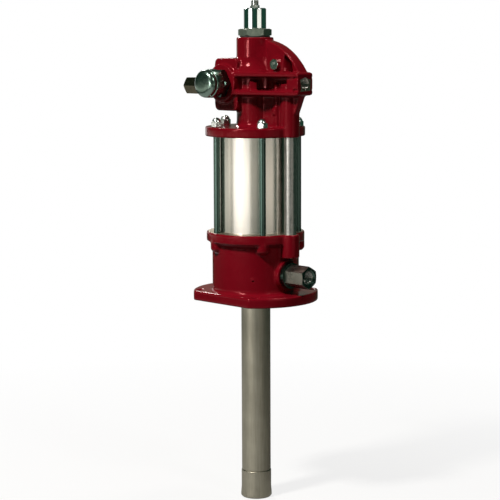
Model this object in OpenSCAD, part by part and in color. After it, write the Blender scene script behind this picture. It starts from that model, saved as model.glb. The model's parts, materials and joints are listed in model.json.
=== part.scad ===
// Air-driven drum oil pump: a reciprocating air motor on a base casting, with
// the pump tube and foot valve hanging below its mounting flange.
// Millimetres. The origin is the centre of the base flange's underside, +Z is
// up and +X points the way that the oil outlet faces.

/* [Base casting] */
// Diameter of the mounting flange
flange_d = 180; // [176:1:190]
// Distance across the two flats of the mounting flange
flange_flats = 142; // [136:1:150]
// Thickness of the mounting flange
flange_t = 14; // [10:1:18]
// Pitch circle of the mounting holes
flange_pcd = 160; // [156:1:162]
// Diameter of the mounting holes
flange_hole_d = 10; // [8:0.5:11]
// Outside diameter of the round body above the flange
body_d = 125; // [122:1:128]
// Height of the face that the air cylinder stands on
base_h = 100; // [98:1:110]
// Diameter of the clamp flange that takes the tie rods
clamp_d = 141; // [139:1:146]
// Thickness of the clamp flange
clamp_t = 13.5; // [12:0.5:16]
// Depth of the tapped tie rod bosses below the clamp flange
boss_drop = 14; // [10:1:18]

/* [Oil outlet] */
// Height of the outlet's centre line
outlet_z = 41; // [40:1:44]
// Distance across the flats of the outlet adapter's hexagon
outlet_af = 28.6; // [26:0.1:31]
// Length of the hexagon
outlet_hex_l = 34; // [28:1:40]
// Diameter of the adapter's round collar
outlet_collar_d = 37; // [35:1:40]
// Bore of the outlet thread
outlet_bore_d = 18.4; // [16:0.2:20]

/* [Air cylinder] */
// Bore of the air cylinder
cyl_bore = 108; // [106:0.5:108.5]
// Wall of the air cylinder
cyl_wall = 2; // [1.5:0.1:2.4]
// Length of cylinder that shows between the two castings
cyl_open = 137; // [137:1:150]
// Depth of the groove that each end of the cylinder stands in
cyl_seat = 3; // [2.5:0.5:4]
// Thickness of the gasket in each groove
gasket_t = 1; // [0.5:0.1:1.5]

/* [Tie rods] */
// Number of tie rods
rod_count = 5; // [3:2:7]
// Diameter of the tie rods
rod_d = 9.5; // [8:0.5:10]
// Pitch circle of the tie rods
rod_pcd = 123; // [122.5:0.5:124]
// Distance across the flats of the domed nuts
nut_af = 14.3; // [13:0.1:15]
// Height of the domed nuts
nut_h = 13.6; // [12:0.2:16]

/* [Air transfer tube] */
// Outside diameter of the transfer tube
duct_tube_d = 17; // [15:0.5:17.5]
// Wall of the transfer tube
duct_tube_wall = 1.5; // [1:0.1:2]
// Distance of the transfer tube from the centre line
duct_x = 68.5; // [68:0.5:70]
// Depth of the socket at each end of the transfer tube
duct_socket = 10; // [8:1:12]
// Radius of the cast boss around the transfer tube
duct_boss_r = 13.5; // [13.2:0.1:14]

/* [Head casting] */
// Diameter of the head's clamp flange
head_flange_d = 143; // [141:1:147]
// Thickness of the head's clamp flange
head_flange_t = 13.6; // [12:0.2:16]
// Diameter of the upright neck
neck_d = 53; // [50:1:56]
// Height of the neck above the clamp flange
neck_h = 126; // [122:1:130]
// Diameter of the chamber inside the neck
neck_bore_d = 32; // [31:0.5:34]
// Height of the valve's centre line above the clamp flange
valve_rise = 61.4; // [58:0.2:64]
// Distance of the valve bore from the centre line
valve_x = 27; // [26:0.5:29]
// Outer face of the valve block, from the centre line
block_x = 46; // [45:0.5:48]
// Width of the valve block from front to back
block_y = 72; // [68:1:76]
// Height of the valve block
block_h = 74.6; // [70:0.2:78]
// Corner radius of the valve block
block_r = 8; // [5:0.5:12]
// Diameter of the round boss at each end of the valve bore
valve_boss_d = 54; // [50:1:56]
// Height of the round bosses above the valve block
valve_boss_t = 6; // [4:0.5:8]
// Thickness of the quarter-round lever housing
lever_house_t = 18; // [17:0.5:20]
// Radius of the lever housing's outline
lever_house_r = 96.5; // [95:0.5:98]
// Thickness of the web under the lever housing
web_t = 18; // [16:0.5:22]
// Thickness of the cross ribs
rib_t = 6.8; // [5:0.2:8]
// Distance from the valve's centre line to the middle of each rib
rib_rise = 12.9; // [12:0.1:14]
// Outer face of the exhaust boss, from the centre line
exhaust_x = 98; // [96:0.5:102]
// Width and height of the exhaust boss
exhaust_w = 31.4; // [29:0.2:34]
// Bore of the exhaust thread
exhaust_bore_d = 18.4; // [16:0.2:20]

/* [Valve end caps] */
// Distance across the flats of the front cap's hexagon
cap_af = 38.1; // [36:0.1:41]
// Length of the front cap's hexagon
cap_hex_l = 11; // [9:0.5:14]
// Diameter of the front cap's barrel
cap_barrel_d = 40.5; // [38:0.5:43]
// Length of the front cap beyond its hexagon
cap_nose_l = 24.8; // [20:0.2:30]
// Distance across the flats of the rear plug
plug_af = 34; // [30:0.5:38]

/* [Air inlet] */
// Distance across the flats of the inlet coupling
inlet_af = 23.5; // [22:0.1:26]
// Length of the inlet coupling
inlet_l = 34; // [28:1:40]
// Outer face of the inlet coupling, from the centre line
inlet_x = 128; // [122:1:134]
// Offset of the inlet towards the front
inlet_y = 8; // [6:0.5:10]
// Drop of the inlet below the valve's centre line
inlet_drop = 6; // [4:0.5:7]
// Bore of the inlet thread
inlet_bore_d = 14.4; // [12:0.2:16]

/* [Neck plug and rod cap] */
// Distance across the flats of the neck plug
neck_plug_af = 41.3; // [40:0.1:44]
// Height of the neck plug's hexagon
neck_plug_h = 10.4; // [10:0.2:15]
// Diameter of the bright rod cap
rod_cap_d = 32; // [30:0.5:34]
// Height of the rod cap
rod_cap_h = 29; // [28:0.5:34]
// Distance across the flats of the small lock nut
lock_af = 12; // [11.5:0.1:13]
// Height of the small lock nut
lock_h = 4; // [3:0.5:5]
// Diameter of the slotted stud
stud_d = 10.4; // [9:0.1:10.8]
// Height of the stud above its lock nut
stud_h = 7; // [5:0.5:9]

/* [Pump tube and foot valve] */
// Outside diameter of the pump tube
tube_d = 42.2; // [41.6:0.1:42.8]
// Bore of the pump tube
tube_bore = 35; // [34.6:0.1:35.4]
// Length of pump tube that shows below the flange
tube_l = 252; // [250:1:300]
// Depth that the tube screws into the base casting
tube_seat = 18; // [14:1:20]
// Length of the foot valve below the tube
foot_l = 41.3; // [41:0.1:46]
// Diameter of the foot valve's lower rim
foot_d = 45; // [44:0.1:48]
// Diameter of the foot valve's ball
foot_ball_d = 22; // [20:0.5:23]
// Lift of the foot valve's ball
foot_lift = 6; // [4:0.5:6.5]
// Diameter of the suction opening
suction_d = 30; // [28:0.5:32]

/* [Motor piston and rod] */
// Stroke of the pump
stroke = 101.6; // [90:0.2:101.6]
// Thickness of the air piston
piston_t = 22; // [18:0.5:22]
// Diameter of the piston rod
piston_rod_d = 22; // [20:0.5:22.5]
// Diameter of the long connecting rod
conn_rod_d = 12; // [10:0.5:13]
// Diameter of the ball in the pump piston
plunger_ball_d = 15; // [14:0.5:16]
// Lift of the ball in the pump piston
plunger_lift = 4; // [3:0.5:5]

/* [Trip gear] */
// Diameter of the trip rod
trip_d = 8; // [7:0.1:8]
// Travel of the trip rod
trip_travel = 8; // [6:0.5:8]
// Distance from the trip rod to the lever's pivot
lever_arm = 52; // [51:0.5:54]
// Distance from the lever's pivot down to the valve's centre line
lever_drop = 27; // [26:0.5:28]
// Thickness of the lever
lever_t = 8; // [6:0.5:9]
// Diameter of the pivot screw's shank
pivot_d = 8; // [6:0.5:8]
// Diameter of the pivot screw's head
pivot_head_d = 14.6; // [13:0.2:16]

/* [Hidden] */
$fn = 64;

eps = 0.01;
seat_gap = 0.1;
run_gap = 0.05;
red = [0.46, 0.05, 0.09];
zinc = [0.55, 0.56, 0.52];
steel = [0.62, 0.62, 0.60];
chrome = [0.85, 0.85, 0.85];
brass = [0.72, 0.56, 0.26];
black = [0.08, 0.08, 0.08];

// Heights of the main joints between pieces
head_z = base_h + cyl_open;
head_flange_z = head_z + head_flange_t;
neck_top = head_flange_z + neck_h;
valve_z = head_flange_z + valve_rise;
rib_z = [valve_z - rib_rise, valve_z + rib_rise];
rib_front = block_y / 2 + valve_boss_t - 1.5;

// Lever housing, its screw boss and the web below it, down to the head's clamp flange
house_x = 12.5;
house_z = valve_z - 35;
house_rim = 3.5;
pocket_d = 13;
screw_boss_d = pivot_head_d + 9;
screw_boss_t = 0.8;
screw_back_t = 5;
exhaust_l = 22;
exhaust_depth = 20;

// Bores of the base casting, from the bottom up
chamber_r = 19;
chamber_top = 56;
packing_r = 17;
packing_top = 80;
gland_t = 7;
bush_r = 14.5;
air_seal_t = 6;
air_seal_z = base_h - air_seal_t;
rod_r = piston_rod_d / 2;

// Air passage from the transfer tube into the cylinder's bottom
passage_r = 4;
passage_x = cyl_bore / 2 - 8;
passage_z = base_h - duct_socket - 8;
duct_bore_r = duct_tube_d / 2 - duct_tube_wall;
duct_boss_low = outlet_z + outlet_collar_d / 2 + 7;
ring_r = 1.15;
ring_mid = duct_tube_d / 2 + seat_gap + ring_r;
ring_pocket_r = ring_mid + ring_r + seat_gap / 2;
ring_pocket_t = 2 * ring_r;

// Outlet adapter, along +X
outlet_boss_r = 22;
outlet_face = body_d / 2 + 3.5;
outlet_seal_t = 1;
outlet_spigot_r = 13;
outlet_spigot_l = 12;
outlet_collar_t = 5;
outlet_collar_x = outlet_face + outlet_seal_t;
outlet_end = outlet_collar_x + outlet_collar_t + outlet_hex_l;

// Weep hole from above the rod packing down to the front of the body
weep_r = 1.3;
weep_angle = -48.7;
weep_z = 34.7;
weep_tilt = 46;
weep_l = (body_d / 2 - packing_r + 0.5) / sin(weep_tilt);

// Neck chamber, lever and pilot valve
neck_bore_r = neck_bore_d / 2;
pivot_x = lever_arm;
pivot_z = valve_z + lever_drop;
prong_r = 3;
fork_gap = 0.15;
collar_t = 5;
collar_r = 7.5;
trip_low_z = pivot_z - trip_travel / 2;
collar_low_z = trip_low_z - prong_r - fork_gap - collar_t;
neck_floor = collar_low_z - 1.85;
swing = asin(trip_travel / 2 / lever_arm);
pilot_shift = lever_drop * sin(swing);
pilot_r = 6;
pilot_l = 22;
pilot_end_gap = 3;
lever_gap = 1.5;
hub_r = 7.5;

// Trip rod and its lost motion in the hollow piston rod
trip_r = trip_d / 2;
piston_z = base_h + 3;
piston_top = piston_z + piston_t;
rod_neck_r = 9;
piston_nut_af = 30;
piston_seal_h = 8;
piston_groove_d = 5;
piston_rim_t = 9;
piston_web_drop = 4;
rod_thread_h = 6;
nut_lip = 4;
rod_top = piston_top + rod_thread_h;
catch_gap = 0.5;
trip_nut_h = 10;
trip_nut_r = 5.9;
trip_nut_top = rod_top - trip_travel - catch_gap;
trip_bore_r = 6.2;
trip_bore_z = trip_nut_top - trip_nut_h - stroke - catch_gap;
trip_top = neck_top + 18;
rod_low = chamber_top - stroke - 5;
rod_joint = 10;

// Valve bore across the block, along Y
sleeve_r = 13.5;
spool_r = 9;
sleeve_half = 30;
valve_face = block_y / 2 + valve_boss_t;
washer_t = 1.2;
spool_l = 50;
spool_travel = 8;
spool_start = -(spool_l + spool_travel) / 2;

// Inlet pieces, along -X
inlet_z = valve_z - inlet_drop;
inlet_boss_r = 16;
inlet_face = block_x + 16;
inlet_spigot_r = 9;
inlet_spigot_l = 12;
inlet_base_af = 27;
inlet_base_t = 9;
inlet_neck_r = 9.5;
inlet_join = 10;
inlet_join_r = inlet_bore_d / 2 - 0.2;
inlet_coupling_x = inlet_x - inlet_l;

// Neck plug and cap
neck_gasket_t = 1.5;
plug_z = neck_top + neck_gasket_t;
plug_spigot_l = 12;
cap_z = plug_z + neck_plug_h;
cap_spigot_r = 11;
cap_spigot_l = 9;
cap_cavity_r = 7;
cap_roof_t = 12;
cap_cavity_top = cap_z + rod_cap_h - cap_roof_t;
lock_z = cap_z + rod_cap_h;
stud_top = lock_z + lock_h + stud_h;
stud_seat_l = 8;
stud_low = lock_z - stud_seat_l;
slot_w = 2.6;

// Foot valve, from the bottom up
tube_low = -tube_l;
foot_low = tube_low - foot_l;
foot_top_d = tube_d + 1.2;
foot_groove = 1.3;
mouth_h = 11.3;
seat_h = 6;
foot_chamber_r = 14.5;
spigot_l = 16;
foot_seat_z = foot_low + mouth_h + seat_h;
foot_seat_r = foot_ball_d / 2 - 2;
foot_ball_z = foot_seat_z + sqrt(pow(foot_ball_d / 2, 2) - pow(foot_seat_r, 2)) + 0.05;
stop_pin_d = 4;
stop_pin_z = foot_ball_z + foot_ball_d / 2 + foot_lift + 0.7 + stop_pin_d / 2;

// Pump piston, from the bottom up
plunger_r = tube_bore / 2 - 0.3;
plunger_z = tube_low + spigot_l + 4;
plunger_seat_h = 6;
plunger_seat_z = plunger_z + plunger_seat_h;
plunger_seat_r = plunger_ball_d / 2 - 1.5;
plunger_ball_z = plunger_seat_z + 0.05
    + sqrt(pow(plunger_ball_d / 2, 2) - pow(plunger_seat_r, 2));
plunger_chamber_r = plunger_ball_d / 2 + 2;
plunger_chamber_top = plunger_ball_z + plunger_ball_d / 2 + plunger_lift + 4;
plunger_skirt_h = 20;
plunger_cage_r = 13;
plunger_port_r = 4;
plunger_thread_h = 11;
plunger_top = plunger_chamber_top + 3 + plunger_thread_h;
plunger_seal_z = plunger_z + 7;
plunger_seal_h = 6;
plunger_seal_t = 2.6;

// Turns a child that stands along +Z to lie along +X, -X, -Y or +Y
module to_x(x, y, z) translate([x, y, z]) rotate([0, 90, 0]) children();
module to_left(x, y, z) translate([x, y, z]) rotate([0, -90, 0]) children();
module to_front(x, y, z) translate([x, y, z]) rotate([90, 0, 0]) children();
module to_back(x, y, z) translate([x, y, z]) rotate([-90, 0, 0]) children();

// Hexagonal bar with the given distance across its flats
module hex_bar(af, h) cylinder(d = af / cos(30), h = h, $fn = 6);

// Hexagon with its two ends turned to a cone, as on a bought fitting
module turned_hex(af, h) {
    corner_r = af / cos(30) / 2;
    intersection() {
        hex_bar(af, h);
        rotate_extrude()
            polygon([[0, 0], [af / 2, 0], [corner_r + eps, (corner_r - af / 2) * 0.4],
                [corner_r + eps, h - (corner_r - af / 2) * 0.4], [af / 2, h], [0, h]]);
    }
}

module pipe(ro, ri, h) difference() {
    cylinder(r = ro, h = h);
    translate([0, 0, -1]) cylinder(r = ri, h = h + 2);
}

module at_rods() for (i = [0 : rod_count - 1])
    rotate([0, 0, 180 + i * 360 / rod_count]) translate([rod_pcd / 2, 0, 0]) children();

// Plate standing in the XZ plane, centred on Y = 0, from a shape drawn in X and Z
module upright(t) translate([0, t / 2, 0]) rotate([90, 0, 0]) linear_extrude(t) children();

// Rectangle from corner to corner with round corners
module round_rect(x0, z0, x1, z1, r) {
    translate([x0 + r, z0]) square([x1 - x0 - 2 * r, z1 - z0]);
    translate([x0, z0 + r]) square([x1 - x0, z1 - z0 - 2 * r]);
    for (x = [x0 + r, x1 - r]) for (z = [z0 + r, z1 - r]) translate([x, z]) circle(r);
}

// Hollow corner between an upright cylinder of radius r and a flat face below it
module foot_fillet(r, f) rotate_extrude() difference() {
    translate([r - 1, 0]) square([f + 1, f]);
    translate([r + f, f]) circle(f);
}

module base_casting() {
    color(red) difference() {
        union() {
            intersection() {
                cylinder(d = flange_d, h = flange_t);
                translate([-flange_d, -flange_flats / 2, 0]) cube([2 * flange_d, flange_flats, flange_t]);
            }
            cylinder(d = body_d, h = base_h - clamp_t + 1);
            translate([0, 0, flange_t]) foot_fillet(body_d / 2, 5);
            translate([0, 0, base_h - clamp_t]) cylinder(d = clamp_d, h = clamp_t);
            at_rods() translate([0, 0, base_h - clamp_t - boss_drop]) {
                cylinder(r1 = rod_d - 3.5, r2 = rod_d, h = 4);
                translate([0, 0, 4]) cylinder(r = rod_d, h = boss_drop - 3);
            }
            translate([duct_x, 0, duct_boss_low]) cylinder(r = duct_boss_r, h = base_h - duct_boss_low);
            to_x(body_d / 2 - 12, 0, outlet_z)
                cylinder(r = outlet_boss_r, h = outlet_face - body_d / 2 + 12);
        }
        translate([0, 0, -1]) cylinder(r = tube_d / 2 + seat_gap, h = tube_seat + 1);
        cylinder(r = chamber_r, h = chamber_top);
        cylinder(r = packing_r, h = packing_top);
        cylinder(r = bush_r, h = base_h + 1);
        to_x(0, 0, outlet_z) cylinder(d = outlet_bore_d, h = outlet_face + 1);
        to_x(outlet_face - outlet_spigot_l - 1, 0, outlet_z)
            cylinder(r = outlet_spigot_r + seat_gap, h = outlet_spigot_l + 2);
        translate([0, 0, base_h - cyl_seat])
            pipe(cyl_bore / 2 + cyl_wall + seat_gap, cyl_bore / 2 - seat_gap, cyl_seat + 1);
        at_rods() translate([0, 0, base_h - clamp_t - boss_drop + 4])
            cylinder(r = rod_d / 2 + seat_gap, h = clamp_t + boss_drop);
        translate([duct_x, 0, base_h - duct_socket])
            cylinder(r = duct_tube_d / 2 + seat_gap, h = duct_socket + 1);
        translate([duct_x, 0, base_h - ring_pocket_t]) cylinder(r = ring_pocket_r, h = ring_pocket_t + 1);
        translate([duct_x, 0, passage_z - 3]) cylinder(r = duct_bore_r, h = duct_socket);
        to_x(passage_x, 0, passage_z) cylinder(r = passage_r, h = duct_x - passage_x);
        translate([passage_x, 0, passage_z - 3]) cylinder(r = passage_r, h = base_h);
        for (a = [45 : 90 : 315]) rotate([0, 0, a]) translate([flange_pcd / 2, 0, -1])
            cylinder(d = flange_hole_d, h = flange_t + 2);
        rotate([0, 0, weep_angle]) translate([body_d / 2, 0, weep_z]) rotate([0, -weep_tilt, 0])
            translate([0, 0, -2]) cylinder(r = weep_r, h = weep_l + 2);
    }
}

module outlet_adapter() {
    color(zinc) to_x(outlet_collar_x, 0, outlet_z) difference() {
        union() {
            translate([0, 0, -outlet_seal_t - outlet_spigot_l])
                cylinder(r = outlet_spigot_r, h = outlet_seal_t + outlet_spigot_l + 1);
            cylinder(d = outlet_collar_d, h = outlet_collar_t);
            translate([0, 0, outlet_collar_t - 1]) turned_hex(outlet_af, outlet_hex_l + 1);
        }
        translate([0, 0, -outlet_spigot_l - 5])
            cylinder(d = outlet_bore_d, h = outlet_hex_l + outlet_spigot_l + 20);
        translate([0, 0, outlet_collar_t + outlet_hex_l - 2])
            cylinder(d1 = outlet_bore_d, d2 = outlet_bore_d + 4.4, h = 2.2);
    }
}

module outlet_seal() {
    color(black) to_x(outlet_face, 0, outlet_z)
        pipe(outlet_collar_d / 2 - 1.5, outlet_spigot_r + seat_gap, outlet_seal_t);
}

// Stack of lip rings that seals the oil chamber round the piston rod
module rod_packing() {
    pitch = (packing_top - chamber_top - gland_t) / 4;
    color(black) for (i = [0 : 3]) translate([0, 0, chamber_top + gland_t + (i + 1) * pitch])
        mirror([0, 0, 1]) pipe(packing_r - seat_gap, rod_r + run_gap, pitch - 0.3);
}

module packing_gland() {
    color(brass) translate([0, 0, chamber_top]) difference() {
        pipe(packing_r - seat_gap, rod_r + run_gap, gland_t);
        translate([-packing_r, -2, -1]) cube([2 * packing_r, 4, 3]);
    }
}

module rod_bush() {
    color(brass) translate([0, 0, packing_top])
        pipe(bush_r - seat_gap, rod_r + run_gap, air_seal_z - packing_top);
}

module rod_air_seal() {
    color(black) translate([0, 0, air_seal_z]) pipe(bush_r - seat_gap, rod_r + run_gap, air_seal_t);
}

module pump_tube() {
    color(steel) translate([0, 0, tube_low]) pipe(tube_d / 2, tube_bore / 2, tube_l + tube_seat);
}

module foot_valve_body() {
    top_z = foot_l - foot_groove;
    flare_z = 16;
    color(steel) translate([0, 0, foot_low]) difference() {
        rotate_extrude() polygon([
            [0, 0], [foot_d / 2 - 1.8, 0], [foot_d / 2, 2.2], [foot_d / 2, 5],
            [foot_top_d / 2, flare_z], [foot_top_d / 2, top_z - 0.6],
            [foot_top_d / 2 - 0.6, top_z], [tube_d / 2 - 1.2, top_z],
            [tube_d / 2 - 1.2, foot_l], [tube_bore / 2 - seat_gap, foot_l],
            [tube_bore / 2 - seat_gap, foot_l + spigot_l], [0, foot_l + spigot_l]
        ]);
        translate([0, 0, -1]) cylinder(d = suction_d, h = mouth_h + 1);
        cylinder(r = foot_seat_r, h = foot_l);
        translate([0, 0, mouth_h + seat_h]) cylinder(r = foot_chamber_r, h = foot_l + spigot_l);
        to_x(-tube_d, 0, stop_pin_z - foot_low) cylinder(r = stop_pin_d / 2 + run_gap, h = 2 * tube_d);
    }
}

// Cross pin that the foot ball lifts against
module foot_stop_pin() {
    pin_l = tube_bore - 2 * seat_gap - 0.4;
    color(steel) to_x(-pin_l / 2, 0, stop_pin_z) cylinder(d = stop_pin_d, h = pin_l);
}

module foot_ball() {
    color(chrome) translate([0, 0, foot_ball_z]) sphere(d = foot_ball_d);
}

module air_cylinder() {
    color(steel) translate([0, 0, base_h - cyl_seat + gasket_t])
        pipe(cyl_bore / 2 + cyl_wall, cyl_bore / 2, cyl_open + 2 * (cyl_seat - gasket_t));
}

module cylinder_gaskets() {
    color(black) for (z = [base_h - cyl_seat, head_z + cyl_seat - gasket_t])
        translate([0, 0, z]) pipe(cyl_bore / 2 + cyl_wall, cyl_bore / 2, gasket_t);
}

module tie_rods() {
    low = base_h - clamp_t - boss_drop + 4;
    color(zinc) at_rods() translate([0, 0, low])
        cylinder(d = rod_d, h = head_flange_z + nut_h - 4 - low);
}

// Domed nut: a hexagon below and a ball top, closed over the end of the rod
module tie_rod_nuts() {
    dome_r = nut_af / 2 - 0.4;
    color(zinc) at_rods() translate([0, 0, head_flange_z]) difference() {
        union() {
            hex_bar(nut_af, nut_h - dome_r + 1);
            translate([0, 0, nut_h - dome_r]) sphere(r = dome_r);
        }
        translate([0, 0, -1]) cylinder(r = rod_d / 2 + seat_gap, h = nut_h - 4 + 1 + seat_gap);
    }
}

module transfer_tube() {
    color(zinc) translate([duct_x, 0, base_h - duct_socket])
        pipe(duct_tube_d / 2, duct_bore_r, cyl_open + 2 * duct_socket);
}

module transfer_seals() {
    color(black) for (z = [base_h - ring_r, head_z + ring_r]) translate([duct_x, 0, z])
        rotate_extrude() translate([ring_mid, 0]) circle(ring_r, $fn = 24);
}

// Outline of the lever housing in X and Z: a quarter round above the exhaust boss
module lever_house_outline(r) {
    intersection() {
        translate([house_x, house_z]) circle(r, $fn = 160);
        translate([0, valve_z - exhaust_w / 2]) square([exhaust_x - 4, lever_house_r]);
    }
}

// Outline of the web in X and Z: its free edge slants from the exhaust boss to the flange
module web_outline() {
    polygon([
        [0, head_z], [duct_x + 8, head_z], [duct_x + 8, head_flange_z + 3],
        [duct_x + 11.5, head_flange_z + 14], [exhaust_x - 12.5, head_flange_z + 25.5],
        [exhaust_x - 6, valve_z - exhaust_w / 2 - 5], [exhaust_x - 3, valve_z - exhaust_w / 2 + 2],
        [0, valve_z]
    ]);
}

// Plan of the cross ribs: they widen from the exhaust boss to the valve bosses
module rib_plan() {
    polygon([
        [-valve_x, -rib_front], [-2, -rib_front], [exhaust_x - 4, -exhaust_w / 2],
        [exhaust_x - 4, exhaust_w / 2], [-2, rib_front], [-valve_x, rib_front]
    ]);
}

// Space that the lever swings in, between the neck chamber and the pilot bore
module lever_room() {
    reach = prong_r + trip_travel / 2 + lever_gap;
    upright(lever_t + 2 * lever_gap) {
        translate([0, pivot_z - reach - 1]) square([pivot_x, 2 * reach + 2]);
        translate([pivot_x, pivot_z]) circle(hub_r + lever_gap);
        translate([pivot_x - prong_r - pilot_shift - lever_gap, valve_z])
            square([2 * (prong_r + pilot_shift + lever_gap), lever_drop]);
    }
}

// Sunk field beside the screw boss, which leaves a narrow rim along the housing's outline
module house_pocket() {
    difference() {
        intersection() {
            lever_house_outline(lever_house_r - house_rim);
            translate([pivot_x + hub_r + lever_gap + 5, rib_z[1] + rib_t / 2])
                square([exhaust_x, 28 - rib_t / 2]);
        }
        translate([pivot_x, pivot_z]) circle(d = screw_boss_d);
    }
}

// Neck with its flared foot on the upper rib and hollow corners along the lever housing
module neck_body() {
    neck_r = neck_d / 2;
    translate([0, 0, head_z]) cylinder(d = neck_d, h = neck_top - head_z);
    translate([0, 0, head_flange_z]) foot_fillet(neck_r, 7);
    translate([0, 0, rib_z[1] + rib_t / 2 - 0.5]) rotate_extrude() polygon([
        [10, 0], [neck_r + 11.5, 0], [neck_r + 11.5, 0.6], [neck_r + 7, 3.5],
        [neck_r + 3.5, 8.5], [neck_r + 1.2, 14], [neck_r, 20], [10, 20]
    ]);
    intersection() {
        upright(neck_d) lever_house_outline(lever_house_r);
        linear_extrude(neck_top) polygon([
            [10, -neck_r + 6], [neck_r - 6.5, -neck_r + 9], [neck_r, -lever_house_t / 2 - 2.5],
            [neck_r + 7, -lever_house_t / 2 + 0.5], [neck_r + 7, lever_house_t / 2 - 0.5],
            [neck_r, lever_house_t / 2 + 2.5], [neck_r - 6.5, neck_r - 9], [10, neck_r - 6]
        ]);
    }
}

module head_body() {
    translate([0, 0, head_z]) cylinder(d = head_flange_d, h = head_flange_t);
    neck_body();
    upright(block_y)
        round_rect(-block_x, valve_z - block_h / 2 - 2, 0, valve_z + block_h / 2 - 2, block_r);
    for (s = [-1, 1]) translate([-valve_x, s * valve_face, valve_z]) rotate([s * 90, 0, 0])
        cylinder(d = valve_boss_d, h = valve_boss_t + 4);
    to_left(-block_x + 8, -inlet_y, inlet_z) cylinder(r = inlet_boss_r, h = inlet_face - block_x + 8);
    upright(lever_house_t) lever_house_outline(lever_house_r);
    upright(web_t * 0.6) web_outline();
    upright(web_t) translate([0, head_z]) square([duct_x, valve_z - head_z]);
    translate([duct_x, 0, head_z]) cylinder(r = duct_boss_r, h = valve_z - head_z);
    // small post on the web, with a knob on it
    translate([pivot_x, -web_t / 2, head_flange_z]) cylinder(r = 4, h = valve_z - head_flange_z);
    translate([pivot_x - 2, -web_t / 2, head_flange_z + 18]) cylinder(r = 5.5, h = 9);
    // small lug on the lower rib, in front of the neck
    rotate([0, 0, -50]) translate([neck_d / 2 - 1, -5.5, rib_z[0]]) cube([9, 11, rib_t / 2 + 12.5]);
    upright(exhaust_w) round_rect(exhaust_x - exhaust_l, valve_z - exhaust_w / 2,
        exhaust_x, valve_z + exhaust_w / 2, 2.5);
    for (z = rib_z) translate([0, 0, z - rib_t / 2]) linear_extrude(rib_t) rib_plan();
    to_front(pivot_x, -lever_house_t / 2 + 1, pivot_z) cylinder(d = screw_boss_d, h = screw_boss_t + 1);
    to_back(pivot_x, lever_house_t / 2 - 1, pivot_z) cylinder(d = screw_boss_d, h = screw_back_t + 1);
}

module head_casting() {
    color(red) difference() {
        head_body();
        translate([0, (pocket_d - lever_house_t) / 2, 0]) upright(pocket_d + eps) house_pocket();
        translate([0, 0, head_z - 1])
            pipe(cyl_bore / 2 + cyl_wall + seat_gap, cyl_bore / 2 - seat_gap, cyl_seat + 1);
        translate([0, 0, head_z - 1]) cylinder(r = trip_r + run_gap, h = neck_top - head_z);
        translate([0, 0, neck_floor]) cylinder(r = neck_bore_r, h = neck_top - neck_floor + 1);
        at_rods() translate([0, 0, head_z - 1]) cylinder(r = rod_d / 2 + 0.3, h = head_flange_t + 2);
        translate([duct_x, 0, head_z - 1]) cylinder(r = duct_tube_d / 2 + seat_gap, h = duct_socket + 1);
        translate([duct_x, 0, head_z - 1]) cylinder(r = ring_pocket_r, h = ring_pocket_t + 1);
        translate([duct_x, 0, head_z]) cylinder(r = duct_bore_r, h = duct_socket + 16);
        to_front(-valve_x, valve_face + 1, valve_z) cylinder(r = sleeve_r, h = 2 * valve_face + 2);
        to_left(-valve_x, -inlet_y, inlet_z)
            cylinder(d = inlet_bore_d - 3, h = inlet_face - valve_x + 1);
        to_left(-inlet_face + inlet_spigot_l + 1, -inlet_y, inlet_z)
            cylinder(r = inlet_spigot_r + seat_gap, h = inlet_spigot_l + 2);
        lever_room();
        to_x(pivot_x + pilot_shift - pilot_l / 2 - 2 * pilot_shift - pilot_end_gap, 0, valve_z)
            cylinder(r = pilot_r, h = exhaust_x);
        to_x(exhaust_x - exhaust_depth, 0, valve_z)
            cylinder(d = exhaust_bore_d, h = exhaust_depth + 1);
        to_x(exhaust_x - 1.2, 0, valve_z) cylinder(d1 = exhaust_bore_d, d2 = exhaust_bore_d + 2.8, h = 1.4);
        to_front(pivot_x, lever_house_t / 2 + screw_back_t - 2, pivot_z)
            cylinder(r = pivot_d / 2 + seat_gap, h = lever_house_t + screw_back_t);
        for (s = [-1, 1]) for (dz = [-8.4, 8.4])
            to_x(exhaust_x - 8, s * (exhaust_w / 2 + 0.3), valve_z + dz) cylinder(r = 1.7, h = 9);
    }
}

// Turned cap that closes the front of the valve bore: spigot, hexagon, barrel and nose
module valve_end_cap() {
    r = cap_barrel_d / 2;
    l = cap_nose_l;
    color(zinc) to_front(-valve_x, -valve_face - washer_t, valve_z) {
        translate([0, 0, -washer_t - valve_face + sleeve_half])
            cylinder(r = sleeve_r - seat_gap, h = valve_face + washer_t - sleeve_half + washer_t + 1);
        rotate([0, 0, 30]) turned_hex(cap_af, cap_hex_l);
        translate([0, 0, cap_hex_l - 1]) rotate_extrude() polygon([
            [0, 0], [r - 1, 0], [r, 1], [r, l * 0.52], [r - 0.6, l * 0.56], [r - 2, l * 0.58],
            [r - 2, l * 0.66], [r - 0.4, l * 0.7], [r - 0.6, l * 0.88], [r - 2.4, l * 0.98],
            [r - 5, l + 1], [0, l + 1]
        ]);
    }
}

module valve_rear_plug() {
    color(zinc) to_back(-valve_x, valve_face + washer_t, valve_z) {
        translate([0, 0, -washer_t - valve_face + sleeve_half])
            cylinder(r = sleeve_r - seat_gap, h = valve_face + washer_t - sleeve_half + washer_t + 1);
        rotate([0, 0, 30]) turned_hex(plug_af, 8);
    }
}

module valve_cap_washers() {
    color(steel) for (y = [-valve_face, valve_face + washer_t]) to_front(-valve_x, y, valve_z)
        pipe(plug_af / 2 + 1, sleeve_r + seat_gap, washer_t);
}

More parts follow.
